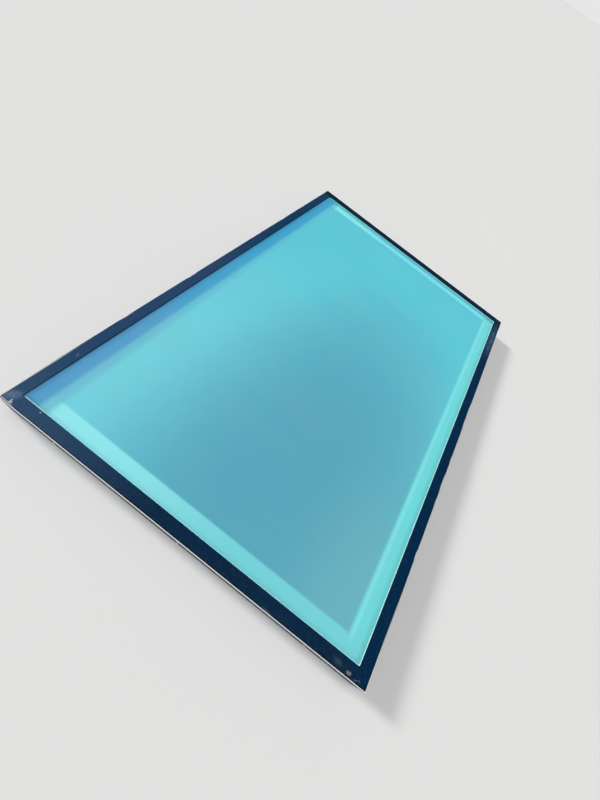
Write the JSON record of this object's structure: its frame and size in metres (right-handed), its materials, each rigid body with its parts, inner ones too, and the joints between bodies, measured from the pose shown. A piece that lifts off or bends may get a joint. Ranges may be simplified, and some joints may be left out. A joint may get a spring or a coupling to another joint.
{
  "type": "roof skylight",
  "caption": "Fixed curb-mounted roof skylight: dark aluminium frame with a flat mitred cap around a diffusing aqua insulating glass unit on a white inner frame.",
  "frame": {"origin": "middle of the frame at the foot of its skirt", "axes": "+X along the long side from left jamb to right jamb, +Y up the slope from sill to head, +Z out of the roof through the glass"},
  "size_m": [1.894, 1.284, 0.0875],
  "materials": {
    "frame_paint": "satin dark blue-grey paint with dust and rubbed edges",
    "bare_aluminium": "mill finish",
    "white_plastic": "white extruded plastic",
    "black_rubber": "extruded rubber",
    "grey_foam": "closed-cell foam",
    "tinted_glass": "toughened glass with a green-blue tint",
    "laminated_glass": "laminated clear glass",
    "diffusing_white": "white translucent layer that looks aqua under the tinted pane",
    "grey_seal": "edge sealant and spacer",
    "screw_steel": "stainless steel"
  },
  "bodies": {
    "root": {"base_rail_sill": "frame_paint", "cap_rail_sill": "frame_paint", "inner_rail_sill": "white_plastic", "cap_gasket_sill": "black_rubber", "glazing_tape_sill": "black_rubber", "curb_gasket_sill": "grey_foam", "base_rail_head": "frame_paint", "cap_rail_head": "frame_paint", "inner_rail_head": "white_plastic", "cap_gasket_head": "black_rubber", "glazing_tape_head": "black_rubber", "curb_gasket_head": "grey_foam", "base_rail_left": "frame_paint", "cap_rail_left": "frame_paint", "inner_rail_left": "white_plastic", "cap_gasket_left": "black_rubber", "glazing_tape_left": "black_rubber", "curb_gasket_left": "grey_foam", "base_rail_right": "frame_paint", "cap_rail_right": "frame_paint", "inner_rail_right": "white_plastic", "cap_gasket_right": "black_rubber", "glazing_tape_right": "black_rubber", "curb_gasket_right": "grey_foam", "outer_pane": "tinted_glass", "laminated_glass_upper": "laminated_glass", "laminated_glass_lower": "laminated_glass", "diffusing_layer": "diffusing_white", "spacer": "grey_seal", "edge_seal": "grey_seal", "setting_blocks": "black_rubber", "edge_blocks": "black_rubber", "base_corner_keys": "bare_aluminium", "cap_corner_keys": "bare_aluminium", "cap_screws": "screw_steel", "weep_baffles": "grey_foam"}
  },
  "joints": []
}
